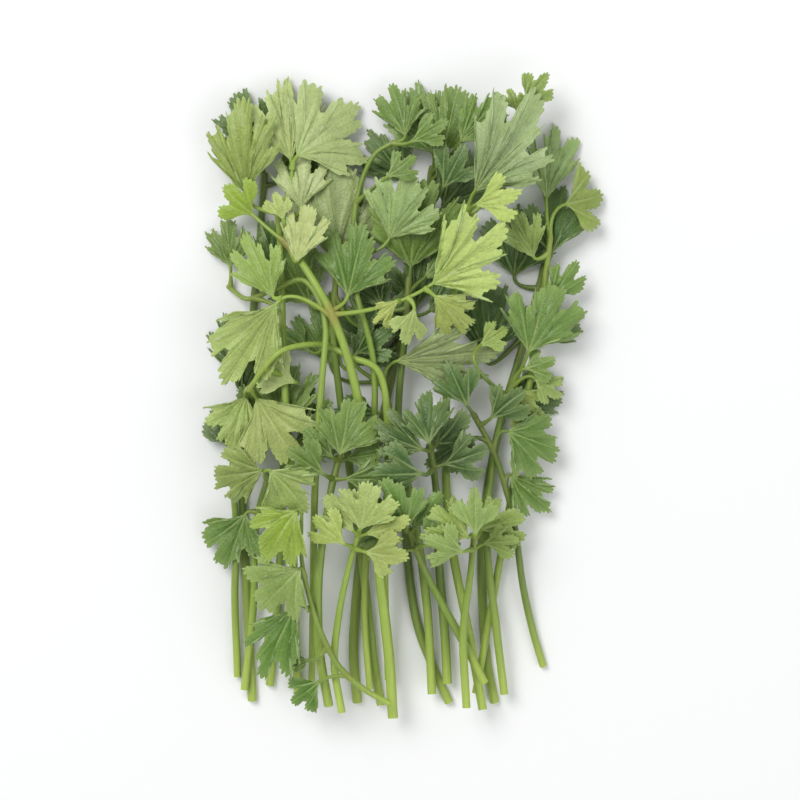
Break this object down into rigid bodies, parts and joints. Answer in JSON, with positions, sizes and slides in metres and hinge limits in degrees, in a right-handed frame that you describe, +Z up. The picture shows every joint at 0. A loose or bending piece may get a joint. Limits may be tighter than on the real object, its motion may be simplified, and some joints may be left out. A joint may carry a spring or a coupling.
{
  "type": "coriander bunch",
  "caption": "A loose bunch of cut coriander lying flat: long pale stems at one end, overlapping lobed and toothed green leaflets at the other.",
  "frame": {"origin": "the middle of the bunch on the surface that it lies on", "axes": "+Z up, +Y from the cut stem ends to the leaf tips, +X to the right seen from above with the leaves away"},
  "size_m": [0.1182, 0.1894, 0.0327],
  "materials": {
    "dark_leaf": "deep green herb leaf, veined, matte",
    "green_leaf": "mid green herb leaf, veined, matte",
    "light_leaf": "light green herb leaf, veined, matte",
    "pale_leaf": "pale yellow-green herb leaf on waxy light stems"
  },
  "bodies": {
    "root": {"sprig_01": "dark_leaf", "sprig_02": "dark_leaf", "sprig_03": "dark_leaf", "sprig_04": "green_leaf", "sprig_05": "dark_leaf", "sprig_06": "green_leaf", "sprig_07": "light_leaf", "sprig_08": "light_leaf", "sprig_09": "green_leaf", "sprig_10": "green_leaf", "sprig_11": "green_leaf", "sprig_12": "green_leaf", "sprig_13": "pale_leaf", "sprig_14": "pale_leaf", "sprig_15": "light_leaf", "sprig_16": "pale_leaf", "sprig_17": "dark_leaf", "sprig_18": "green_leaf", "sprig_19": "dark_leaf", "sprig_20": "green_leaf", "sprig_21": "light_leaf", "sprig_22": "pale_leaf", "sprig_23": "light_leaf", "sprig_24": "green_leaf"}
  },
  "joints": []
}
